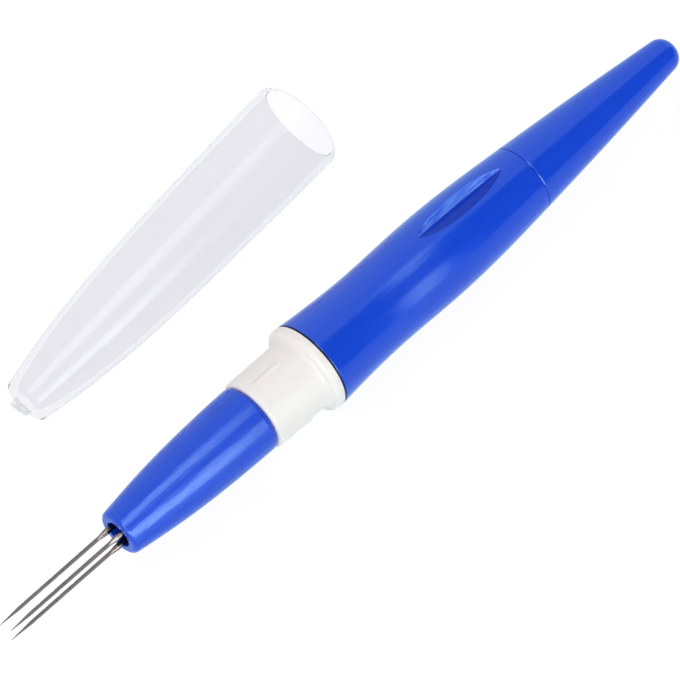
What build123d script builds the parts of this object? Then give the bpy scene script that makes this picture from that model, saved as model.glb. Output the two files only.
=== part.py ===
from build123d import *
import os
from math import atan, cos, radians, sin

# A felting pen: three barbed needles held in a nose that screws on a waisted handle,
# with its clear cap pulled off and laid beside it.
# Row frame, in millimetres: +X runs along the tool axis towards the needle tips, +Z is up,
# and the origin is on the tool axis where the straight wall of the cap's seat starts.
# The pen lies on the plane z = -flange_radius.
# Angles about the tool axis are counted from +Y towards +Z, so the thumb recess is at 90.

# Fits between pieces
running_clearance = 0.08
seat_gap = 0.05
bond_gap = 0.03
cap_clearance = 0.15
lead_in = 0.3

# Collar: the white moulding between nose and handle
collar_radius = 6.65
collar_length = 11.6
collar_edge_round = 0.6
flange_radius = 8.25
flange_thickness = 1.8
flange_edge_round = 0.84
flange_root_fillet = 0.75
joint_groove_width = 0.25
joint_groove_depth = 1.6
spigot_radius = 6.0
stub_radius = 4.95
stub_length = 8.0
collar_end_wall = 1.5

# Grip ribs on the collar, tallest at their flange end, which stops short of the flange
rib_count = 3
rib_height = 0.165
rib_width = 0.75
rib_first_angle = 92.5
rib_flange_gap = 4.3
rib_nose_gap = 0.6

# Nose cone
nose_length = 30.65
nose_back_radius = 6.27
nose_belly_radius = 6.07
nose_middle_radius = 5.52
nose_front_radius = 4.13
nose_back_round = 0.9
nose_front_round = 0.95
nose_hole_radius = 2.45
nose_hole_round = 0.25
nose_front_wall = 2.0
nose_throat_radius = 3.3
nose_throat_front_radius = 2.9
nose_belly_share = 0.32
nose_middle_share = 0.62

# Needle holder inside the collar and nose
holder_radius = 4.2
holder_nose_reach = 12.3
holder_end_wall = 2.0
holder_edge_chamfer = 0.4

# Needles: a cranked shank, a thinner middle and a three-edged barbed blade
needle_count = 3
needle_first_angle = 51
needle_pitch_radius = 1.75
needle_length = 76.0
needle_protrusion = 24.9
shank_radius = 0.915
shank_length = 26.5
shank_taper = 1.8
middle_radius = 0.55
blade_length = 21.8
blade_taper = 2.0
blade_edges = 3
blade_circumradius = 0.4
point_length = 4.5
point_waist_share = 0.88
point_end_radius = 0.04
crank_bend_radius = 1.3
crank_end_gap = 0.1
slot_clearance = 0.045
barbs_per_edge = 3
barb_length = 0.55
barb_depth = 0.13
barb_first_gap = 5.2
barb_pitch = 3.2

# Handle barrel
barrel_length = 50.05
barrel_mouth_radius = 8.22
barrel_flare_radius = 7.77
barrel_waist_radius = 7.45
barrel_belly_radius = 7.64
barrel_rear_radius = 7.21
barrel_tail_radius = 6.42
barrel_mouth_round = 0.15
barrel_tail_round = 0.25
barrel_bore_radius = 5.1
barrel_flare_share = 0.12
barrel_waist_share = 0.285
barrel_belly_share = 0.55
barrel_rear_share = 0.80
barrel_end_slope_share = 0.09

# Thumb recess: a leaf-shaped hollow in the top of the barrel
recess_length = 20.4
recess_half_width = 2.45
recess_depth = 1.25
recess_front_gap = 26.15
recess_fullness_share = 0.62

# Tail
tail_length = 36.7
tail_middle_radius = 4.87
tail_tip_radius = 2.85
tail_tip_round = 2.55
tail_edge_round = 0.25
tail_spigot_length = 12.0
tail_spigot_wall = 1.1
tail_hollow_depth = 24.0
tail_hollow_end_radius = 1.6
tail_middle_share = 0.47
tail_front_slope_share = 0.085
tail_back_slope_share = 0.108

# Clear cap and how it lies
cap_length = 69.7
cap_mouth_radius = 8.47
cap_fore_radius = 7.93
cap_shoulder_radius = 7.1
cap_neck_radius = 5.61
cap_tip_radius = 4.12
cap_mouth_round = 1.3
cap_tip_round = 0.3
cap_wall = 1.35
cap_end_wall = 1.5
cap_fore_share = 0.37
cap_shoulder_share = 0.67
cap_neck_share = 0.872
gate_stub_radius = 1.9
gate_stub_length = 2.1
gate_stub_draft = 6
gate_stub_slant = 11
cap_mouth_x = -37.55
cap_mouth_y = -37.25
cap_yaw = 3.95

# Stations along the tool axis
flange_front_x = -flange_root_fillet
flange_back_x = flange_front_x - flange_thickness
groove_back_x = flange_back_x - joint_groove_width
barrel_front_x = groove_back_x - seat_gap
barrel_tail_x = barrel_front_x - barrel_length
collar_front_x = flange_front_x + collar_length
stub_end_x = collar_front_x + stub_length
nose_back_x = collar_front_x + seat_gap
nose_front_x = nose_back_x + nose_length
needle_tip_x = nose_front_x + needle_protrusion
needle_back_x = needle_tip_x - needle_length
slot_end_x = needle_back_x - slot_clearance
holder_back_x = slot_end_x - holder_end_wall
holder_front_x = nose_back_x + holder_nose_reach
holder_bore_radius = holder_radius + running_clearance
spigot_end_x = holder_back_x - seat_gap - collar_end_wall
axis_line = Axis((0, 0, 0), (1, 0, 0))


def axial_plane(angle, centre=(0, 0, 0)):
    """Plane along the tool axis: local x runs along it, local y outwards at the angle."""
    turn = radians(angle)
    return Plane(origin=centre, x_dir=(1, 0, 0), z_dir=(0, -sin(turn), cos(turn)))


def cross_plane(station):
    """Plane square to the tool axis at a station: local x is +Y and local y is +Z."""
    return Plane(origin=(station, 0, 0), x_dir=(0, 1, 0), z_dir=(1, 0, 0))


def end_ring(shape, station):
    """Circular edges of a turned piece that lie at a station, smallest first."""
    rings = shape.edges().filter_by(GeomType.CIRCLE)
    at_station = rings.filter_by_position(Axis.X, station - seat_gap, station + seat_gap)
    return at_station.sort_by(SortBy.RADIUS)


def save(piece, name):
    piece.label = name
    export_step(piece, f"parts/{name}.step")
    print(name, "volume", round(piece.volume, 2))


os.makedirs("parts", exist_ok=True)

# Collar: stub for the nose, seat for the cap, flange, groove and the spigot in the barrel
groove_radius = flange_radius - joint_groove_depth
rib_back_x = flange_front_x + rib_flange_gap
rib_front_x = collar_front_x - rib_nose_gap
with BuildPart() as collar:
    with BuildSketch(Plane.XY):
        with BuildLine():
            Polyline(
                (stub_end_x, holder_bore_radius),
                (stub_end_x, stub_radius - lead_in),
                (stub_end_x - lead_in, stub_radius),
                (collar_front_x, stub_radius),
                (collar_front_x, collar_radius),
                (flange_front_x, collar_radius),
                (flange_front_x, flange_radius),
                (flange_back_x, flange_radius),
                (flange_back_x, groove_radius),
                (groove_back_x, groove_radius),
                (groove_back_x, spigot_radius),
                (spigot_end_x + lead_in, spigot_radius),
                (spigot_end_x, spigot_radius - lead_in),
                (spigot_end_x, 0),
                (spigot_end_x + collar_end_wall, 0),
                (spigot_end_x + collar_end_wall, holder_bore_radius),
                close=True,
            )
        make_face()
    revolve(axis=axis_line)
    fillet(end_ring(collar, collar_front_x)[-1], collar_edge_round)
    fillet(end_ring(collar, flange_front_x)[0], flange_root_fillet)
    fillet(end_ring(collar, flange_front_x)[-1], flange_edge_round)
    for index in range(rib_count):
        rib_angle = rib_first_angle + index * 360 / rib_count
        with BuildSketch(axial_plane(rib_angle)):
            with BuildLine():
                Polyline(
                    (rib_back_x, collar_radius - rib_height),
                    (rib_back_x, collar_radius + rib_height),
                    (rib_front_x, collar_radius),
                    (rib_front_x, collar_radius - rib_height),
                    close=True,
                )
            make_face()
        extrude(amount=rib_width / 2, both=True)
save(collar.part, "collar")

# Nose cone: threaded room for the stub, seat for the needle holder, throat and needle hole
nose_belly_x = nose_back_x + nose_belly_share * nose_length
nose_middle_x = nose_back_x + nose_middle_share * nose_length
thread_radius = stub_radius + running_clearance
thread_end_x = stub_end_x + lead_in
throat_end_x = nose_front_x - nose_front_wall
holder_seat_x = holder_front_x + seat_gap
with BuildPart() as nose_cone:
    with BuildSketch(Plane.XY):
        with BuildLine():
            Spline(
                (nose_back_x, nose_back_radius),
                (nose_belly_x, nose_belly_radius),
                (nose_middle_x, nose_middle_radius),
                (nose_front_x, nose_front_radius),
                tangents=[(1, 0), (nose_length, -nose_front_radius)],
            )
            Polyline(
                (nose_front_x, nose_front_radius),
                (nose_front_x, nose_hole_radius),
                (throat_end_x, nose_hole_radius),
                (throat_end_x, nose_throat_front_radius),
                (holder_seat_x, nose_throat_radius),
                (holder_seat_x, holder_bore_radius),
                (thread_end_x, holder_bore_radius),
                (thread_end_x, thread_radius),
                (nose_back_x, thread_radius),
                (nose_back_x, nose_back_radius),
            )
        make_face()
    revolve(axis=axis_line)
    fillet(end_ring(nose_cone, nose_back_x)[-1], nose_back_round)
    fillet(end_ring(nose_cone, nose_front_x)[-1], nose_front_round)
    fillet(end_ring(nose_cone, nose_front_x)[0], nose_hole_round)
save(nose_cone.part, "nose_cone")

# Needle holder: a rod with one open slot for each needle, closed behind the cranks
with BuildPart() as needle_holder:
    with BuildSketch(cross_plane(holder_back_x)):
        Circle(holder_radius)
    extrude(amount=holder_front_x - holder_back_x)
    chamfer(needle_holder.edges().filter_by(GeomType.CIRCLE), holder_edge_chamfer)
    slot_radius = shank_radius + slot_clearance
    slot_reach = 2 * holder_radius
    for index in range(needle_count):
        needle_angle = needle_first_angle + index * 360 / needle_count
        with BuildSketch(cross_plane(slot_end_x)):
            with PolarLocations(needle_pitch_radius, 1, start_angle=needle_angle):
                Circle(slot_radius)
                Rectangle(slot_reach, 2 * slot_radius, align=(Align.MIN, Align.CENTER))
        extrude(amount=holder_front_x - slot_end_x, mode=Mode.SUBTRACT)
save(needle_holder.part, "needle_holder")

# Needles, one for each slot
crank_x = needle_back_x + shank_radius
crank_top = holder_radius - crank_end_gap
blade_root_x = needle_tip_x - blade_length
middle_end_x = blade_root_x - blade_taper
shank_end_x = crank_x + shank_length
middle_start_x = shank_end_x + shank_taper
point_start_x = needle_tip_x - point_length
barb_floor_radius = blade_circumradius - barb_depth
for index in range(needle_count):
    needle_angle = needle_first_angle + index * 360 / needle_count
    side = axial_plane(needle_angle)
    needle_centre = side.from_local_coords((0, needle_pitch_radius, 0))
    with BuildPart() as needle:
        with BuildLine(side) as crank_path:
            FilletPolyline(
                (crank_x, crank_top),
                (crank_x, needle_pitch_radius),
                (shank_end_x, needle_pitch_radius),
                radius=crank_bend_radius,
            )
        with BuildSketch(Plane(origin=crank_path.line @ 0, z_dir=crank_path.line % 0)):
            Circle(shank_radius)
        sweep(path=crank_path.line)
        with BuildSketch(side):
            with BuildLine():
                Polyline(
                    (shank_end_x, needle_pitch_radius),
                    (shank_end_x, needle_pitch_radius + shank_radius),
                    (middle_start_x, needle_pitch_radius + middle_radius),
                    (middle_end_x, needle_pitch_radius + middle_radius),
                    (blade_root_x, needle_pitch_radius + barb_floor_radius),
                    (blade_root_x, needle_pitch_radius),
                    close=True,
                )
            make_face()
        revolve(axis=Axis(needle_centre, (1, 0, 0)))
        blade_stations = (middle_end_x, point_start_x, needle_tip_x)
        blade_radii = (blade_circumradius, blade_circumradius * point_waist_share, point_end_radius)
        for station, radius in zip(blade_stations, blade_radii):
            with BuildSketch(cross_plane(station)):
                with PolarLocations(needle_pitch_radius, 1, start_angle=needle_angle):
                    RegularPolygon(radius, blade_edges)
        loft(ruled=True)
        for edge in range(blade_edges):
            barb_plane = axial_plane(needle_angle + edge * 360 / blade_edges, needle_centre)
            edge_offset = edge * barb_pitch / blade_edges
            for barb in range(barbs_per_edge):
                barb_x = needle_tip_x - barb_first_gap - edge_offset - barb * barb_pitch
                with BuildSketch(barb_plane):
                    with BuildLine():
                        Polyline(
                            (barb_x, blade_circumradius),
                            (barb_x - barb_length, barb_floor_radius),
                            (barb_x - barb_length, blade_circumradius),
                            close=True,
                        )
                    make_face()
                extrude(amount=blade_circumradius, both=True, mode=Mode.SUBTRACT)
    save(needle.part, f"needle_{index + 1}")

# Barrel: waisted handle, bored for the collar's spigot in front and the tail's behind
barrel_shares = (0, barrel_flare_share, barrel_waist_share, barrel_belly_share, barrel_rear_share, 1)
barrel_radii = (
    barrel_mouth_radius,
    barrel_flare_radius,
    barrel_waist_radius,
    barrel_belly_radius,
    barrel_rear_radius,
    barrel_tail_radius,
)
barrel_outline = [(barrel_front_x - share * barrel_length, radius)
                  for share, radius in zip(barrel_shares, barrel_radii)]
barrel_end_slope = (-1, -barrel_end_slope_share)
barrel_socket_radius = spigot_radius + bond_gap
socket_end_x = spigot_end_x - seat_gap
recess_front_x = barrel_front_x - recess_front_gap
recess_fall = barrel_belly_radius - (barrel_rear_radius + barrel_tail_radius) / 2
recess_place = Plane(
    origin=(recess_front_x - recess_length / 2, 0, barrel_belly_radius - recess_fall / 2),
    x_dir=(recess_length, 0, recess_fall),
    z_dir=(-recess_fall, 0, recess_length),
)
with BuildPart() as recess_form:
    with BuildSketch(Plane.XY):
        with BuildLine():
            Spline(
                (recess_length / 2, 0),
                (0, recess_half_width),
                (-recess_length / 2, 0),
                tangents=[(-1, recess_fullness_share), (-1, -recess_fullness_share)],
            )
            Line((-recess_length / 2, 0), (recess_length / 2, 0))
        make_face()
    revolve(axis=Axis.X)
    scale(by=(1, 1, recess_depth / recess_half_width))
with BuildPart() as barrel:
    with BuildSketch(Plane.XY):
        with BuildLine():
            Spline(*barrel_outline, tangents=[barrel_end_slope, barrel_end_slope])
            Polyline(
                barrel_outline[-1],
                (barrel_tail_x, barrel_bore_radius),
                (socket_end_x, barrel_bore_radius),
                (socket_end_x, barrel_socket_radius),
                (barrel_front_x, barrel_socket_radius),
                barrel_outline[0],
            )
        make_face()
    revolve(axis=axis_line)
    fillet(end_ring(barrel, barrel_front_x)[-1], barrel_mouth_round)
    fillet(end_ring(barrel, barrel_tail_x)[-1], barrel_tail_round)
    add(recess_place.location * recess_form.part, mode=Mode.SUBTRACT)
save(barrel.part, "barrel")

# Tail: tapered end piece with a hollow plug that slides into the barrel
tail_back_x = barrel_tail_x - tail_length
tail_spigot_radius = barrel_bore_radius - running_clearance
tail_spigot_x = barrel_tail_x + tail_spigot_length
tail_hollow_radius = tail_spigot_radius - tail_spigot_wall
tail_front_x = barrel_tail_x - seat_gap
tail_hollow_x = tail_front_x - tail_hollow_depth
tail_middle_x = tail_front_x - tail_middle_share * tail_length
with BuildPart() as tail_piece:
    with BuildSketch(Plane.XY):
        with BuildLine():
            Spline(
                (tail_front_x, barrel_tail_radius),
                (tail_middle_x, tail_middle_radius),
                (tail_back_x, tail_tip_radius),
                tangents=[(-1, -tail_front_slope_share), (-1, -tail_back_slope_share)],
            )
            Polyline(
                (tail_back_x, tail_tip_radius),
                (tail_back_x, 0),
                (tail_hollow_x, 0),
                (tail_hollow_x, tail_hollow_end_radius),
                (tail_front_x, tail_hollow_radius),
                (tail_spigot_x, tail_hollow_radius),
                (tail_spigot_x, tail_spigot_radius - lead_in),
                (tail_spigot_x - lead_in, tail_spigot_radius),
                (tail_front_x, tail_spigot_radius),
                (tail_front_x, barrel_tail_radius),
            )
        make_face()
    revolve(axis=axis_line)
    fillet(end_ring(tail_piece, tail_front_x)[-1], tail_edge_round)
    fillet(end_ring(tail_piece, tail_back_x)[-1], tail_tip_round)
save(tail_piece.part, "tail_piece")

# Clear cap: it lies on the stretch of its wall from the fore station to the shoulder
cap_fore_s = cap_fore_share * cap_length
cap_shoulder_s = cap_shoulder_share * cap_length
cap_neck_s = cap_neck_share * cap_length
cap_lean = atan((cap_fore_radius - cap_shoulder_radius) / (cap_shoulder_s - cap_fore_s))
cap_turn = radians(cap_yaw)
cap_mouth_z = cap_fore_s * sin(cap_lean) + cap_fore_radius * cos(cap_lean) - flange_radius
cap_side = Plane(
    origin=(cap_mouth_x, cap_mouth_y, cap_mouth_z),
    x_dir=(cos(cap_lean) * cos(cap_turn), cos(cap_lean) * sin(cap_turn), -sin(cap_lean)),
    z_dir=(-sin(cap_turn), cos(cap_turn), 0),
)
cap_line = Axis(cap_side.origin, cap_side.x_dir)
cap_seat_radius = collar_radius + cap_clearance
cap_bore_end_s = cap_length - cap_end_wall
with BuildPart() as clear_cap:
    with BuildSketch(cap_side):
        with BuildLine():
            Spline(
                (0, cap_mouth_radius),
                (cap_fore_s, cap_fore_radius),
                (cap_shoulder_s, cap_shoulder_radius),
                (cap_neck_s, cap_neck_radius),
                (cap_length, cap_tip_radius),
            )
            Polyline(
                (cap_length, cap_tip_radius),
                (cap_length, 0),
                (cap_bore_end_s, 0),
                (cap_bore_end_s, cap_tip_radius - cap_wall),
                (cap_neck_s, cap_neck_radius - cap_wall),
                (cap_shoulder_s, cap_shoulder_radius - cap_wall),
                (cap_fore_s, cap_fore_radius - cap_wall),
                (collar_length, cap_seat_radius),
                (0, cap_seat_radius),
                (0, cap_mouth_radius),
            )
        make_face()
    revolve(axis=cap_line)
    cap_rings = clear_cap.edges().filter_by(GeomType.CIRCLE).group_by(cap_line)
    fillet(cap_rings[0].sort_by(SortBy.RADIUS)[-1], cap_mouth_round)
    fillet(cap_rings[-1].sort_by(SortBy.RADIUS)[-1], cap_tip_round)
    cap_tip = Plane(origin=cap_side.from_local_coords((cap_length, 0, 0)), z_dir=cap_side.x_dir)
    with BuildSketch(cap_tip):
        Circle(gate_stub_radius)
    extrude(amount=gate_stub_length, taper=gate_stub_draft)
    stub_break = cap_tip.offset(gate_stub_length).rotated((gate_stub_slant, 0, 0))
    stub_break = stub_break.offset(-gate_stub_radius * sin(radians(gate_stub_slant)))
    split(bisect_by=stub_break, keep=Keep.BOTTOM)
save(clear_cap.part, "clear_cap")
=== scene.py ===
import math

import bmesh
import bpy
import numpy as np
from mathutils import Matrix, Vector


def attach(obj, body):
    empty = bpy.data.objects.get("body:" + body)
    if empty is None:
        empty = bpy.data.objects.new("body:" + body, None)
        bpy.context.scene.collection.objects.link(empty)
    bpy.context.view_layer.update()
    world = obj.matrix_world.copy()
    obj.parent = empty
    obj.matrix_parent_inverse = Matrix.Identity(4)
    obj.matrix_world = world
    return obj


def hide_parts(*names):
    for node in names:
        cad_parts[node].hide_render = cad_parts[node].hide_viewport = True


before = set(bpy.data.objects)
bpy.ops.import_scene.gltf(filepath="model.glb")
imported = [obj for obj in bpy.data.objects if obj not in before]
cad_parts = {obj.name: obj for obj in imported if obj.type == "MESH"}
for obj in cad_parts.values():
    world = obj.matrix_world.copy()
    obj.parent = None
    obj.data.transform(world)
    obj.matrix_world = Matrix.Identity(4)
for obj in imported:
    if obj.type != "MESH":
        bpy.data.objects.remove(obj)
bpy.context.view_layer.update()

# A felting pen with its clear cap laid beside it. The pen's axis is x, the needle tips point to +x and
# +z is up. Angles about the axis are counted from +y towards +z.
# Sizes are in millimetres and are those of the part's source, but for the ribs, which are as high here
# as they look in the photo. The small rounds stand with their outlines, and some are finer than the
# part's.
MM = 0.001
TURN = 2 * math.pi

# Fits between pieces
running_clearance = 0.08
seat_gap = 0.05
bond_gap = 0.03
lead_in = 0.3

# Collar
flange_front_x, flange_back_x, groove_back_x = -0.75, -2.55, -2.8
collar_front_x, stub_end_x, spigot_end_x = 10.85, 18.85, -13.145
collar_radius, flange_radius, spigot_radius, stub_radius = 6.65, 8.25, 6.0, 4.95
collar_edge_round, flange_root_fillet, flange_edge_round = 0.6, 0.75, 0.84
holder_bore_radius, collar_end_wall = 4.28, 1.5
rib_angles = (92.5, 212.5, 332.5)
rib_back_x, rib_front_x, rib_height, rib_half_width = 3.55, 10.25, 0.24, 0.375
rib_flank = 0.14
thread_pitch, thread_depth, thread_run_out = 1.25, 0.3, 0.5
thread_front_gap, thread_back_gap = 0.4, 0.5
crest_half_share, flank_share = 0.1, 0.25

# Nose cone
nose_back_x, nose_front_x, nose_length = 10.9, 41.55, 30.65
nose_back_radius, nose_belly_radius, nose_middle_radius, nose_front_radius = 6.27, 6.07, 5.52, 4.13
nose_belly_share, nose_middle_share = 0.32, 0.62
nose_back_round, nose_front_round = 0.9, 0.95
nose_hole_radius, nose_front_wall = 2.45, 2
nose_throat_front_radius, nose_throat_radius, holder_seat_x = 2.9, 3.3, 23.25
stub_end_gap = 0.3

# Barrel
barrel_front_x, barrel_tail_x, barrel_length = -2.85, -52.9, 50.05
barrel_mouth_radius, barrel_belly_radius, barrel_tail_radius = 8.22, 7.64, 6.42
barrel_stations = ((0, barrel_mouth_radius), (0.12, 7.77), (0.285, 7.45),
                   (0.55, barrel_belly_radius), (0.80, 7.21), (1, barrel_tail_radius))
barrel_end_slope, barrel_bore_radius = (-1, -0.09), 5.1
barrel_mouth_round, barrel_tail_round = 0.15, 0.2

# Thumb recess: the valley's deepest line lies off the leaf's middle, as a share of its half width
recess_length, recess_half_width, recess_depth = 20.4, 2.45, 1.25
recess_front_x, recess_fall, recess_fullness = -29.0, 0.825, 0.62
recess_middle_x = recess_front_x - recess_length / 2
recess_edge_blend = 0.08
valley_side, valley_round, ridge_height, ridge_count = -0.5, 0.012, 0.03, 2.5

# Tail
tail_front_x, tail_back_x, tail_length = -52.95, -89.6, 36.7
tail_middle_share, tail_middle_radius, tail_tip_radius = 0.47, 4.87, 2.85
tail_front_slope, tail_back_slope = (-1, -0.085), (-1, -0.108)
tail_tip_round, tail_edge_round = 2.55, 0.25
tail_spigot_front_x, tail_spigot_wall = -40.9, 1.1
tail_hollow_depth, tail_hollow_end_radius = 24, 1.6

# Clear cap: its outside from the mouth to the tip, along its own axis, and how it lies
cap_length, cap_wall, cap_end_wall = 69.7, 1.35, 1.5
cap_mouth_radius, cap_tip_radius = 8.47, 4.12
cap_middle = [(25.789, 7.93), (46.699, 7.1), (60.778, 5.61)]
cap_seat_depth, cap_seat_radius = 11.6, 6.8
cap_mouth_round, cap_tip_round = 1.3, 0.3
gate_stub_radius, gate_stub_end_radius, gate_stub_length = 1.9, 1.68, 2.1
cap_mouth, cap_lean, cap_yaw = Vector((-37.55, -37.25, 0.6966)), math.radians(2.2731), math.radians(3.95)
cap_angle_count = 240

inner_round, fine_round = 0.1, 0.05


def unit(v):
    return v / np.linalg.norm(v)


def clamp(value):
    return max(0.0, min(1.0, value))


def smooth_line(points, step, start=None, end=None):
    """Points along a smooth curve through the given ones, by chord length, with optional end directions."""
    p = np.array(points, float)
    t = np.concatenate([[0], np.cumsum(np.linalg.norm(np.diff(p, axis=0), axis=1))])
    n, h = len(p), np.diff(t)
    # The slopes m at the points make the curve's bend run on without a jump
    a, b = np.zeros((n, n)), np.zeros((n, 2))
    for i in range(1, n - 1):
        a[i, i - 1], a[i, i], a[i, i + 1] = h[i], 2 * (h[i - 1] + h[i]), h[i - 1]
        b[i] = 3 * (h[i] * (p[i] - p[i - 1]) / h[i - 1] + h[i - 1] * (p[i + 1] - p[i]) / h[i])
    for row, near, direction in ((0, 1, start), (n - 1, n - 2, end)):
        a[row, row] = 1
        if direction is None:
            a[row, row], a[row, near] = 2, 1
            b[row] = 3 * (p[near] - p[row]) / (t[near] - t[row])
        else:
            b[row] = unit(np.array(direction, float))
    m = np.linalg.solve(a, b)
    s = np.linspace(0, t[-1], max(2, int(math.ceil(t[-1] / step)) + 1))
    k = np.clip(np.searchsorted(t, s, side="right") - 1, 0, n - 2)
    u, w = ((s - t[k]) / h[k])[:, None], h[k][:, None]
    return list((2 * u**3 - 3 * u**2 + 1) * p[k] + (u**3 - 2 * u**2 + u) * w * m[k]
                + (3 * u**2 - 2 * u**3) * p[k + 1] + (u**3 - u**2) * w * m[k + 1])


def straight(a, b, step=1.0):
    """Points along a straight stretch, no further apart than the step."""
    a, b = np.array(a, float), np.array(b, float)
    count = max(1, int(math.ceil(np.linalg.norm(b - a) / step)))
    return [a + (b - a) * i / count for i in range(count + 1)]


def straights(*points):
    """The straight stretches from each point to the next."""
    return [straight(a, b) for a, b in zip(points, points[1:])]


def joined(stretches, rounds, closed=False):
    """One outline from stretches that meet end to end, with the corner after stretch i rounded by rounds[i].

    A support point just outside each end of a round keeps the flat beside it flat in smooth shading.
    """
    arc_step, smallest_support, largest_support = 7, 0.001, 0.12
    radius_share, slack_share, clear_share = 0.6, 0.4, 1.6
    stretches = [[np.array(point) for point in stretch] for stretch in stretches]
    count = len(stretches)
    corners = {}
    for i in range(count if closed else count - 1):
        before, after, radius = stretches[i], stretches[(i + 1) % count], rounds[i]
        corner, back, on = before[-1], unit(before[-2] - before[-1]), unit(after[1] - after[0])
        inner = math.acos(max(-1, min(1, float(back @ on))))
        reach = radius / math.tan(inner / 2)
        centre = corner + unit(back + on) * radius / math.sin(inner / 2)
        first, last, sweep = corner + back * reach - centre, corner + on * reach - centre, math.pi - inner
        steps = max(3, int(math.degrees(sweep) / arc_step))
        arc = [centre + (math.sin((1 - k / steps) * sweep) * first + math.sin(k / steps * sweep) * last)
               / math.sin(sweep) for k in range(steps + 1)]
        beside = max(rounds[i - 1] if i else 0, rounds[(i + 1) % len(rounds)])
        slack = min(np.linalg.norm(before[0] - corner), np.linalg.norm(after[-1] - after[0])) - reach
        support = max(smallest_support, min(largest_support, radius_share * radius,
                                            slack_share * (slack - beside)))
        arc = [corner + back * (reach + support)] + arc + [corner + on * (reach + support)]
        corners[i] = corner, reach + clear_share * support, arc
    path = []
    for i, stretch in enumerate(stretches):
        for j in ((i - 1) % count if closed else i - 1, i):
            if j in corners:
                corner, clear, arc = corners[j]
                stretch = [point for point in stretch if np.linalg.norm(point - corner) > clear]
        path += stretch
        if i in corners:
            path += corners[i][2]
    return path


def closed_by(outer, stretches, rounds, overlap=2):
    """Closes an outer outline by stretches that lead back to its start, where the corner is rounded too."""
    return outer[overlap:] + joined(stretches + [outer[:overlap]], rounds)


def spread(count, *sectors):
    """Angles about the axis, evenly spaced, with finer spacing in each sector (middle, half width, step).

    Sectors are in degrees, the result in radians.
    """
    angles = set(round(i * 360 / count, 4) for i in range(count))
    for middle, half, step in sectors:
        angles = {a for a in angles if abs((a - middle + 180) % 360 - 180) > half}
        angles |= {round((middle + k * step) % 360, 4) for k in range(-int(half / step), int(half / step) + 1)}
    return [math.radians(a) for a in sorted(angles)]


def turned(name, path, angles, body, nodes, slot, shape=None, place=Matrix.Identity(4)):
    """A piece turned about the x axis: the closed path holds (x, r) in mm; shape may move a point."""
    mesh = bmesh.new()
    rings = []
    for x, r in path:
        if r < 1e-6:
            rings.append([mesh.verts.new(place @ Vector((x, 0, 0)) * MM)])
            continue
        ring = []
        for angle in angles:
            px, pr = shape(x, r, angle) if shape else (x, r)
            point = Vector((px, pr * math.cos(angle), pr * math.sin(angle)))
            ring.append(mesh.verts.new(place @ point * MM))
        rings.append(ring)
    for a, b in zip(rings, rings[1:] + rings[:1]):
        if len(a) == 1 and len(b) == 1:
            continue
        for i in range(len(angles)):
            j = (i + 1) % len(angles)
            corners = [a[i % len(a)], a[j % len(a)], b[j % len(b)], b[i % len(b)]]
            mesh.faces.new(list(dict.fromkeys(corners)))
    bmesh.ops.recalc_face_normals(mesh, faces=mesh.faces)
    data = bpy.data.meshes.new(name)
    mesh.to_mesh(data)
    mesh.free()
    data.polygons.foreach_set("use_smooth", [True] * len(data.polygons))
    piece = bpy.data.objects.new(name, data)
    bpy.context.scene.collection.objects.link(piece)
    data.materials.append(materials[slot])
    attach(piece, body)
    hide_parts(*nodes)
    return piece


def srgb(r, g, b):
    """A colour as read off a screen, 0 to 255, in the linear values that a shader takes."""
    def line(c):
        c /= 255
        return c / 12.92 if c <= 0.04045 else ((c + 0.055) / 1.055) ** 2.4
    return (line(r), line(g), line(b), 1)


WHITE = (1, 1, 1, 1)
# Sockets of a Mix node, which has its own for each type of data
COLOUR_A, COLOUR_B, COLOUR_RESULT = 6, 7, 2
NUMBER_A, NUMBER_B = 2, 3


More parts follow.
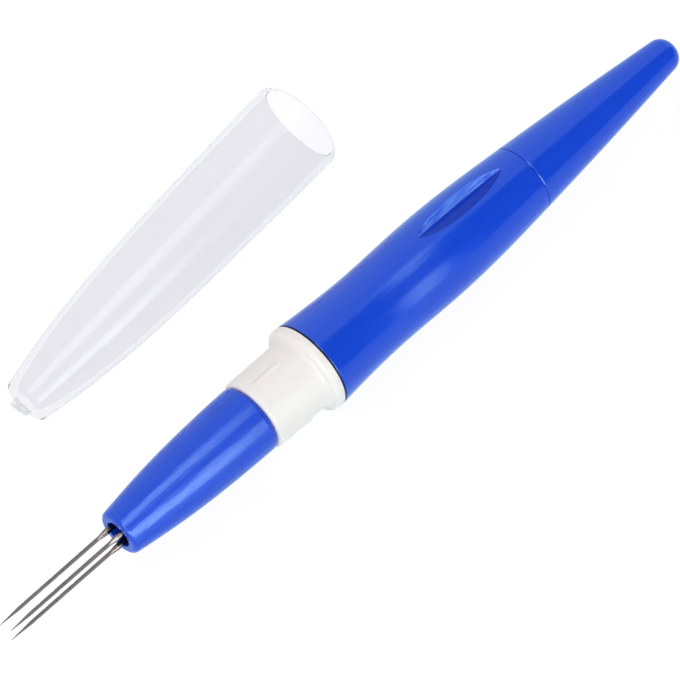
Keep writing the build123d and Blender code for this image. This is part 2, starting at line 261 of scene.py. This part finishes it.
class Nodes:
    """Small helper that adds nodes and links to a material or world tree."""

    def __init__(self, owner):
        self.owner = owner
        owner.use_nodes = True
        self.tree = owner.node_tree
        self.tree.nodes.clear()

    def add(self, kind, inputs=(), **settings):
        node = self.tree.nodes.new(kind)
        for key, value in settings.items():
            setattr(node, key, value)
        for key, value in dict(inputs).items():
            if hasattr(value, "is_linked"):
                self.tree.links.new(value, node.inputs[key])
            else:
                node.inputs[key].default_value = value
        return node

    def surface(self, shader, output="ShaderNodeOutputMaterial"):
        self.add(output, {"Surface": shader.outputs[0]})
        return self.owner

    def math(self, operation, *values):
        return self.add("ShaderNodeMath", dict(enumerate(values)), operation=operation).outputs[0]

    def coordinates(self, kind):
        """The parts X, Y and Z of Object (in metres), Normal or Generated (in a world, the direction)."""
        vector = self.add("ShaderNodeTexCoord").outputs[kind]
        return self.add("ShaderNodeSeparateXYZ", {"Vector": vector}).outputs

    def noise(self, scale, detail=2.0, roughness=0.5, stretch=(1, 1, 1)):
        coords = self.add("ShaderNodeTexCoord").outputs["Object"]
        vector = self.add("ShaderNodeMapping", {"Vector": coords, "Scale": stretch}).outputs["Vector"]
        texture = {"Vector": vector, "Scale": scale, "Detail": detail, "Roughness": roughness}
        return self.add("ShaderNodeTexNoise", texture).outputs["Fac"]

    def rescale(self, value, low, high, to_low=0.0, to_high=1.0, kind="LINEAR"):
        """Takes low to to_low and high to to_high, with no change past them."""
        ends = {"Value": value, "From Min": low, "From Max": high, "To Min": to_low, "To Max": to_high}
        return self.add("ShaderNodeMapRange", ends, interpolation_type=kind).outputs["Result"]

    def ramp(self, noise, low, high):
        """A value between low and high that follows the noise."""
        return self.rescale(noise, 0.3, 0.7, low, high)

    def step_up(self, value, low, high, amount=1.0):
        return self.rescale(value, low, high, 0.0, amount, "SMOOTHSTEP")

    def band(self, value, low, high, edge, amount):
        return self.math("MULTIPLY", self.step_up(value, low - edge, low + edge, amount),
                         self.math("SUBTRACT", 1.0, self.step_up(value, high - edge, high + edge)))

    def blend(self, factor, first, second):
        """Between two colours, fixed ones or sockets."""
        inputs = {0: factor, COLOUR_A: first, COLOUR_B: second}
        return self.add("ShaderNodeMix", inputs, data_type="RGBA").outputs[COLOUR_RESULT]

    def mix(self, factor, first, second):
        """Between two numbers."""
        return self.add("ShaderNodeMix", {0: factor, NUMBER_A: first, NUMBER_B: second}).outputs[0]

    def bump(self, noise, strength, depth, below=None):
        """Relief of a depth in millimetres, on top of another relief."""
        inputs = {"Height": noise, "Strength": strength, "Distance": depth * MM}
        if below:
            inputs["Normal"] = below
        return self.add("ShaderNodeBump", inputs).outputs["Normal"]

    def lean(self, radius):
        """How far a face leans towards +y, against the round surface of that radius that it is in."""
        place, facing = self.coordinates("Object"), self.coordinates("Normal")
        return self.math("MULTIPLY_ADD", place["Y"], -1 / (radius * MM), facing["Y"])

    def mirror_tint(self, ray, tint):
        """The tint for mirrored rays only: a ray through rough clear plastic counts as glossy too."""
        mirrored = self.math("SUBTRACT", ray["Is Glossy Ray"], ray["Is Transmission Ray"])
        return self.blend(mirrored, WHITE, tint)


def blue_plastic():
    n = Nodes(bpy.data.materials.new("blue_plastic"))
    x = n.coordinates("Object")["X"]
    colour = n.blend(n.noise(260, 3, 0.6), srgb(8, 65, 207), srgb(12, 70, 213))

    # The barrel's end face lies in the shade of the flange's groove
    shade_x, shade_blend = barrel_front_x - 0.09, 0.03
    shade = n.math("MULTIPLY", n.rescale(x, shade_x * MM, (shade_x + shade_blend) * MM),
                   n.math("LESS_THAN", x, 0.0))
    colour = n.blend(shade, colour, srgb(20, 44, 112))

    # In the recess, painted shade and painted highlights: the wall that faces away from the light is painted
    # a darker blue and given less gloss, and the wall that faces the light gets painted bright highlight
    # streaks
    inside = n.math("COMPARE", x, recess_middle_x * MM, recess_length / 2 * MM)
    lean = n.lean(barrel_belly_radius)
    shaded_wall = n.math("MULTIPLY", n.rescale(lean, -0.1, -0.3), inside)
    lit_wall = n.math("MULTIPLY", n.rescale(lean, 0.3, 0.6), inside)
    highlight_streak = n.ramp(n.noise(2400, 1, 0.4, (0.06, 1, 1)), 0.0, 1.0)
    colour = n.blend(shaded_wall, colour, srgb(14, 52, 180))
    colour = n.blend(lit_wall, colour, n.blend(highlight_streak, srgb(30, 84, 228), srgb(100, 146, 244)))

    # Flow marks run along the nose, darkest in its back half
    on_nose = n.rescale(x, 8 * MM, 12 * MM)
    back_half = n.rescale(x, 28 * MM, 20 * MM)
    mark = n.rescale(n.noise(1500, 1, 0.4, (0.05, 1, 1)), 0.58, 0.7, 0.0, 0.6)
    mark = n.math("MULTIPLY", n.math("MULTIPLY", mark, back_half), on_nose)
    colour = n.blend(mark, colour, srgb(20, 48, 150))

    rough = n.ramp(n.noise(900, 4, 0.6, (0.25, 1, 1)), 0.13, 0.2)
    relief = n.bump(n.noise(320, 1.5, 0.4, (0.35, 1, 1)), 0.35, 0.04)
    relief = n.bump(n.noise(1300, 2, 0.5, (0.05, 1, 1)), on_nose, 0.05, relief)
    relief = n.bump(n.noise(9000, 2, 0.6), 0.12, 0.01, relief)
    return n.surface(n.add("ShaderNodeBsdfPrincipled", {
        "Base Color": colour, "Normal": relief, "IOR": 1.45,
        "Roughness": n.math("MULTIPLY_ADD", on_nose, 0.07, rough),
        "Specular IOR Level": n.rescale(shaded_wall, 0.0, 1.0, 0.5, 0.1),
        "Specular Tint": (0.97, 1, 0.93, 1)}))


def white_plastic():
    n = Nodes(bpy.data.materials.new("white_plastic"))
    place = n.coordinates("Object")
    colour = n.blend(n.noise(420, 3, 0.55), srgb(237, 230, 228), srgb(241, 234, 232))

    # The top rib's far wall lies in its own shade
    ribs_middle_x, ribs_reach, top_z = 6.6, 3.4, 6
    along = n.math("COMPARE", place["X"], ribs_middle_x * MM, ribs_reach * MM)
    above = n.math("GREATER_THAN", place["Z"], top_z * MM)
    shaded_wall = n.rescale(n.lean(collar_radius), -0.12, -0.3)
    shaded_wall = n.math("MULTIPLY", n.math("MULTIPLY", shaded_wall, along), above)
    colour = n.blend(shaded_wall, colour, srgb(190, 188, 190))

    return n.surface(n.add("ShaderNodeBsdfPrincipled", {
        "Base Color": colour, "IOR": 1.5, "Specular Tint": (1, 0.88, 0.9, 1),
        "Roughness": n.ramp(n.noise(1500, 3, 0.5), 0.42, 0.54),
        "Normal": n.bump(n.noise(2600, 3, 0.6), 0.2, 0.02),
        "Subsurface Weight": 0.15, "Subsurface Radius": (0.0012, 0.0011, 0.001), "Subsurface Scale": 1.0}))


def clear_plastic():
    """Clear plastic whose bend, gloss and cloudiness sit in the skin marked by the attribute "outer"."""
    n = Nodes(bpy.data.materials.new("clear_plastic"))
    skin = n.add("ShaderNodeAttribute", attribute_name="outer").outputs["Fac"]
    clear = n.add("ShaderNodeBsdfPrincipled", {
        "Base Color": n.blend(n.noise(120, 2, 0.5), srgb(247, 246, 249), srgb(250, 249, 252)),
        "Roughness": n.ramp(n.noise(700, 3, 0.6, (0.2, 1, 1)), 0.1, 0.18),
        "Normal": n.bump(n.noise(180, 2, 0.4, (0.3, 1, 1)), 0.06, 0.04),
        "IOR": n.rescale(skin, 0.0, 1.0, 1.004, 1.06),
        "Transmission Weight": 1.0,
        "Coat Weight": n.rescale(skin, 0.0, 1.0, 0.0, 0.45), "Coat Roughness": 0.18})
    haze = n.blend(n.noise(300, 3, 0.6, (0.3, 1, 1)), srgb(226, 224, 229), srgb(232, 230, 235))
    milk = n.add("ShaderNodeBsdfTranslucent", {"Color": haze}).outputs[0]
    matte = n.add("ShaderNodeBsdfDiffuse", {"Color": haze}).outputs[0]
    cloudy = n.add("ShaderNodeMixShader", {0: 0.5, 1: milk, 2: matte}).outputs[0]
    share = n.rescale(skin, 0.0, 1.0, 0.09, 0.2)
    return n.surface(n.add("ShaderNodeMixShader", {0: share, 1: clear.outputs[0], 2: cloudy}))


def needle_steel():
    n = Nodes(bpy.data.materials.new("needle_steel"))
    return n.surface(n.add("ShaderNodeBsdfPrincipled", {
        "Base Color": n.blend(n.noise(1400, 3, 0.6, (0.1, 1, 1)), srgb(86, 68, 68), srgb(146, 116, 115)),
        "Roughness": n.ramp(n.noise(5200, 3, 0.6, (0.05, 1, 1)), 0.12, 0.3),
        "Normal": n.bump(n.noise(9000, 2, 0.6, (0.04, 1, 1)), 0.25, 0.01),
        "Metallic": 1.0}))


materials = {"blue_plastic": blue_plastic(), "white_plastic": white_plastic(),
             "clear_plastic": clear_plastic(), "needle_steel": needle_steel()}

# CAD nodes that keep their shape get their finish here
for node, slot in (("needle_holder", "white_plastic"), ("needle_1", "needle_steel"),
                   ("needle_2", "needle_steel"), ("needle_3", "needle_steel")):
    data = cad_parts[node].data
    data.materials.clear()
    data.materials.append(materials[slot])

# One set of angles for all the pen's shells, finer over the recess with the top rib and over the other ribs
recess_sector, rib_sector, fine_step = 21, 5.6, 0.7
pen_angles = spread(120, (90, recess_sector, fine_step),
                    *((angle, rib_sector, fine_step) for angle in rib_angles[1:]))

# Barrel, with the leaf-shaped thumb recess pressed into its top
leaf = np.array(smooth_line([(-recess_length / 2, 0), (0, recess_half_width), (recess_length / 2, 0)],
                            0.1, (1, recess_fullness), (1, -recess_fullness)))


def pressed(x, r, angle):
    """Presses the barrel's outside into an uneven valley with faint ridges, inside the leaf."""
    outside_radius, widest_angle = 6.2, 0.6
    along = x - recess_middle_x
    off = (TURN / 4 - angle + math.pi) % TURN - math.pi
    if r < outside_radius or abs(along) >= recess_length / 2 or abs(off) > widest_angle:
        return x, r
    width = float(np.interp(along, leaf[:, 0], leaf[:, 1]))
    if width < 1e-3:
        return x, r
    level = barrel_belly_radius - recess_fall / 2 + along * recess_fall / recess_length
    side = level * math.tan(off) / width
    far, near = (side + 1) / (valley_side + 1), (1 - side) / (1 - valley_side)
    sunk = 0.5 * (far + near - math.sqrt((far - near) ** 2 + valley_round))
    ridge = ridge_height * math.cos(far * ridge_count * TURN) * max(0.0, 1 - abs(2 * far - 1))
    bottom = (level - (sunk * recess_depth - ridge) * width / recess_half_width) / math.cos(off)
    share = clamp(0.5 + 0.5 * (r - bottom) / recess_edge_blend)
    return x, r + (bottom - r) * share - recess_edge_blend * share * (1 - share)


barrel_socket_x, barrel_socket_radius = spigot_end_x - seat_gap, spigot_radius + bond_gap
barrel_path = joined([
    smooth_line([(barrel_front_x - share * barrel_length, r) for share, r in barrel_stations],
                0.2, barrel_end_slope, barrel_end_slope),
    *straights(
        (barrel_tail_x, barrel_tail_radius),
        (barrel_tail_x, barrel_bore_radius),
        (barrel_socket_x, barrel_bore_radius),
        (barrel_socket_x, barrel_socket_radius),
        (barrel_front_x, barrel_socket_radius),
        (barrel_front_x, barrel_mouth_radius),
    ),
], [barrel_tail_round, 0.15, *[inner_round] * 3, barrel_mouth_round], closed=True)
turned("barrel_shell", barrel_path, pen_angles, "handle", ["barrel"], "blue_plastic", pressed)

# Tail, with its hollow plug
tail_spigot_radius = barrel_bore_radius - running_clearance
tail_hollow_radius = tail_spigot_radius - tail_spigot_wall
tail_hollow_x = tail_front_x - tail_hollow_depth
tail_outer = joined([
    smooth_line([(tail_front_x, barrel_tail_radius),
                 (tail_front_x - tail_middle_share * tail_length, tail_middle_radius),
                 (tail_back_x, tail_tip_radius)], 0.8, tail_front_slope, tail_back_slope),
    straight((tail_back_x, tail_tip_radius), (tail_back_x, 0)),
], [tail_tip_round])
tail_path = closed_by(tail_outer, straights(
    (tail_hollow_x, 0),
    (tail_hollow_x, tail_hollow_end_radius),
    (tail_front_x, tail_hollow_radius),
    (tail_spigot_front_x, tail_hollow_radius),
    (tail_spigot_front_x, tail_spigot_radius - lead_in),
    (tail_spigot_front_x - lead_in, tail_spigot_radius),
    (tail_front_x, tail_spigot_radius),
    (tail_front_x, barrel_tail_radius),
), [0.3, 0.3, 0.12, fine_round, fine_round, 0.08, tail_edge_round])

# Nose cone
nose_inner_x, nose_socket_x = nose_front_x - nose_front_wall, stub_end_x + stub_end_gap
nose_socket_radius = stub_radius + running_clearance
nose_path = joined([
    smooth_line([(nose_back_x, nose_back_radius),
                 (nose_back_x + nose_belly_share * nose_length, nose_belly_radius),
                 (nose_back_x + nose_middle_share * nose_length, nose_middle_radius),
                 (nose_front_x, nose_front_radius)], 0.5, (1, 0), (nose_length, -nose_front_radius)),
    *straights(
        (nose_front_x, nose_front_radius),
        (nose_front_x, nose_hole_radius),
        (nose_inner_x, nose_hole_radius),
        (nose_inner_x, nose_throat_front_radius),
        (holder_seat_x, nose_throat_radius),
        (holder_seat_x, holder_bore_radius),
        (nose_socket_x, holder_bore_radius),
        (nose_socket_x, nose_socket_radius),
        (nose_back_x, nose_socket_radius),
    ),
    straight((nose_back_x, nose_socket_radius), (nose_back_x, nose_back_radius), 0.1),
], [nose_front_round, 0.12, *[inner_round] * 6, 0.02, nose_back_round], closed=True)
turned("nose_shell", nose_path, pen_angles, "nose", ["nose_cone"], "blue_plastic")


# Collar
def collar_shape(x, r, angle):
    """Raises the ribs on the cap's seat and sinks a right-handed thread in the stub."""
    if abs(r - collar_radius) < 1e-6 and rib_back_x - 0.3 < x < rib_front_x:
        rise = rib_height * (rib_front_x - x) / (rib_front_x - rib_back_x)
        rise *= clamp((x - rib_back_x + rib_flank) / rib_flank)
        for middle in rib_angles:
            off = abs((angle - math.radians(middle) + math.pi) % TURN - math.pi) * collar_radius
            r += rise * clamp((rib_half_width + rib_flank / 2 - off) / rib_flank)
    thread_back_x, thread_front_x = collar_front_x + thread_back_gap, stub_end_x - thread_front_gap
    if abs(r - stub_radius) < 1e-6 and thread_back_x < x < thread_front_x:
        run = clamp(min((x - thread_back_x) / thread_run_out, (thread_front_x - x) / thread_run_out))
        phase = (x / thread_pitch - angle / TURN) % 1
        r -= thread_depth * run * clamp((abs(phase - 0.5) - crest_half_share) / flank_share)
    return x, r


collar_outer = joined([
    *straights((stub_end_x, holder_bore_radius), (stub_end_x, stub_radius - lead_in),
               (stub_end_x - lead_in, stub_radius)),
    straight((stub_end_x - lead_in, stub_radius), (collar_front_x, stub_radius), 0.09),
    straight((collar_front_x, stub_radius), (collar_front_x, collar_radius)),
    straight((collar_front_x, collar_radius), (flange_front_x, collar_radius), 0.14),
    *straights(
        (flange_front_x, collar_radius),
        (flange_front_x, flange_radius),
        (flange_back_x, flange_radius),
        (flange_back_x, collar_radius),
        (groove_back_x, collar_radius),
        (groove_back_x, spigot_radius),
        (spigot_end_x, spigot_radius),
        (spigot_end_x, 0),
    ),
], [fine_round, fine_round, 0.1, collar_edge_round, flange_root_fillet, flange_edge_round,
    0.12, fine_round, fine_round, inner_round, 0.25])
collar_bore_x = spigot_end_x + collar_end_wall
collar_path = closed_by(collar_outer, straights(
    (collar_bore_x, 0), (collar_bore_x, holder_bore_radius), (stub_end_x, holder_bore_radius),
), [inner_round, fine_round])
turned("collar_shell", collar_path, pen_angles, "handle", ["collar"], "white_plastic", collar_shape)
turned("tail_shell", tail_path, pen_angles, "tail", ["tail_piece"], "blue_plastic")


# Clear cap, lying beside the pen
def stub_break(x, r, angle):
    """Slants the gate stub's end and makes its break ragged."""
    break_start, break_run, drop, reach_radius = 0.3, 1.6, 0.36, 2.4
    past = x - cap_length - break_start
    if past < 0 or r > reach_radius:
        return x, r
    share = min(1.0, past / break_run)
    ragged = 0.12 * math.sin(3 * angle + 0.7) + 0.07 * math.sin(5 * angle + 2.0)
    return (x - share * (drop + drop * r / gate_stub_radius * math.sin(angle + 0.6)),
            r * (1 + share * ragged))


heading = Vector((math.cos(cap_lean) * math.cos(cap_yaw), math.cos(cap_lean) * math.sin(cap_yaw),
                  -math.sin(cap_lean)))
sideways = Vector((-math.sin(cap_yaw), math.cos(cap_yaw), 0))
cap_axes = Matrix((heading, sideways.cross(heading), sideways)).transposed().to_4x4()
cap_place = Matrix.Translation(cap_mouth) @ cap_axes
cap_outer = joined([
    smooth_line([(0, cap_mouth_radius), *cap_middle, (cap_length, cap_tip_radius)], 0.5),
    straight((cap_length, cap_tip_radius), (cap_length, gate_stub_radius), 0.3),
    straight((cap_length, gate_stub_radius), (cap_length + gate_stub_length, gate_stub_end_radius), 0.2),
    straight((cap_length + gate_stub_length, gate_stub_end_radius), (cap_length + gate_stub_length, 0), 0.2),
], [cap_tip_round, 0.15, 0.2])
cap_end_x, cap_end_radius = cap_length - cap_end_wall, cap_tip_radius - cap_wall
cap_path = closed_by(cap_outer, [
    straight((cap_end_x, 0), (cap_end_x, cap_end_radius), 0.4),
    smooth_line([(cap_end_x, cap_end_radius), *((x, r - cap_wall) for x, r in reversed(cap_middle)),
                 (cap_seat_depth, cap_seat_radius)], 0.5, None, (-1, 0)),
    straight((cap_seat_depth, cap_seat_radius), (0, cap_seat_radius), 0.5),
    straight((0, cap_seat_radius), (0, cap_mouth_radius), 0.1),
], [0.5, 0.1, 0.3, cap_mouth_round], overlap=7)
cap_shell = turned("cap_shell", cap_path, spread(cap_angle_count), "cap", ["clear_cap"], "clear_plastic",
                   stub_break, cap_place)

# The outside and the mouth's rim are the skin that the clear plastic asks for
outer_points = {tuple(point) for point in cap_outer}
rim_length, rim_start = 1.5, 0.05
skin = []
for point in cap_path:
    on_rim = point[0] < rim_length and point[1] > cap_seat_radius + rim_start
    ring_count = 1 if point[1] < 1e-6 else cap_angle_count
    skin += [float(on_rim or tuple(point) in outer_points)] * ring_count
cap_shell.data.attributes.new("outer", "FLOAT", "POINT").data.foreach_set("value", skin)


def floor_white():
    """Glows for the camera and in mirrored rays, and is matte white for the rest of the light."""
    n = Nodes(bpy.data.materials.new("floor_white"))
    ray = n.add("ShaderNodeLightPath").outputs
    seen = n.math("MAXIMUM", ray["Is Camera Ray"], ray["Is Transmission Ray"])
    share = n.math("MULTIPLY_ADD", ray["Is Glossy Ray"], 0.7, n.math("MULTIPLY", seen, 0.92))
    matte = n.add("ShaderNodeBsdfPrincipled",
                  {"Base Color": (0.93, 0.93, 0.93, 1), "Roughness": 0.2, "IOR": 1.5}).outputs[0]
    glow = n.add("ShaderNodeEmission", {
        "Color": n.mirror_tint(ray, (0.66, 0.96, 1, 1)),
        "Strength": n.math("MULTIPLY_ADD", ray["Is Glossy Ray"], 0.15, 1.03)}).outputs[0]
    return n.surface(n.add("ShaderNodeMixShader", {0: share, 1: matte, 2: glow}))


floor = bpy.data.objects.new("floor", bpy.data.meshes.new("floor"))
floor_half, floor_z = 3, -8.4 * MM
floor.data.from_pydata([(x, y, floor_z) for x, y in ((-floor_half, -floor_half), (floor_half, -floor_half),
                                                     (floor_half, floor_half), (-floor_half, floor_half))],
                       [], [(0, 1, 2, 3)])
bpy.context.scene.collection.objects.link(floor)
floor.data.materials.append(floor_white())


def studio():
    """White for the camera and through clear plastic; in reflections a dim room with soft boxes.

    The boxes are placed by the angle about the tool axis, from +z towards +y in degrees. Most of them
    are left out for rays that head far towards the tail.
    """
    n = Nodes(bpy.data.worlds.new("studio"))
    ray = n.add("ShaderNodeLightPath").outputs
    way = n.coordinates("Generated")
    around = n.math("DEGREES", n.math("ARCTAN2", way["Y"], way["Z"]))
    forward = n.step_up(way["X"], -0.36, -0.28)
    glow = n.math("ADD", 0.05, n.band(around, -110, 12, 5, 1.15))
    for box in (n.band(around, 1, 24, 4, 6.6), n.band(around, 18, 64, 4, 1.2),
                n.band(around, 59, 110, 8, 10.8), n.step_up(around, 100, 120, 1.8)):
        glow = n.math("ADD", glow, n.math("MULTIPLY", forward, box))
    for box in (n.step_up(around, 84, 100, 0.2), n.step_up(around, 104, 128, 2.8)):
        glow = n.math("ADD", glow, box)
    fill = n.math("ADD", n.math("ADD", 0.56, n.step_up(way["Y"], -0.95, -0.45, 0.27)),
                  n.math("ADD", n.step_up(way["Y"], -0.6, 0.8, 0.18), n.step_up(way["X"], 0.3, 1.0, 0.35)))
    clear = n.math("MAXIMUM", ray["Is Camera Ray"], ray["Is Transmission Ray"])
    background = n.add("ShaderNodeBackground", {
        "Color": n.mirror_tint(ray, (0.7, 1, 0.97, 1)),
        "Strength": n.mix(clear, n.mix(ray["Is Glossy Ray"], fill, glow), 1.0)})
    return n.surface(background, "ShaderNodeOutputWorld")


bpy.context.scene.world = studio()

# A faint soft box on the cap's side
light = bpy.data.lights.new("softbox_left", "AREA")
light.shape, light.size, light.size_y, light.energy = "RECTANGLE", 0.9, 0.55, 0.25
lamp = bpy.data.objects.new("softbox_left", light)
lamp.location, lamp_target = (-0.02, -0.42, 0.42), Vector((-0.01, -0.01, 0))
lamp.rotation_mode = "QUATERNION"
lamp.rotation_quaternion = (lamp_target - lamp.location).to_track_quat("-Z", "Y")
bpy.context.scene.collection.objects.link(lamp)

# Camera, at the photograph's place
camera = bpy.data.objects.new("camera", bpy.data.cameras.new("camera"))
camera.data.sensor_width, camera.data.lens = 36, 344.1
camera.data.clip_start, camera.data.clip_end = 0.01, 20
camera_place = Vector((375.89, 527.67, 844.44)) * MM
right, up = Vector((-0.70011571, 0.7038428, -0.1201803)), Vector((-0.61604527, -0.5103259, 0.60004642))
camera_axes = Matrix((right, up, right.cross(up))).transposed().to_4x4()
camera.matrix_world = Matrix.Translation(camera_place) @ camera_axes
bpy.context.scene.collection.objects.link(camera)
bpy.context.scene.camera = camera
bpy.context.scene.view_settings.view_transform = "Standard"
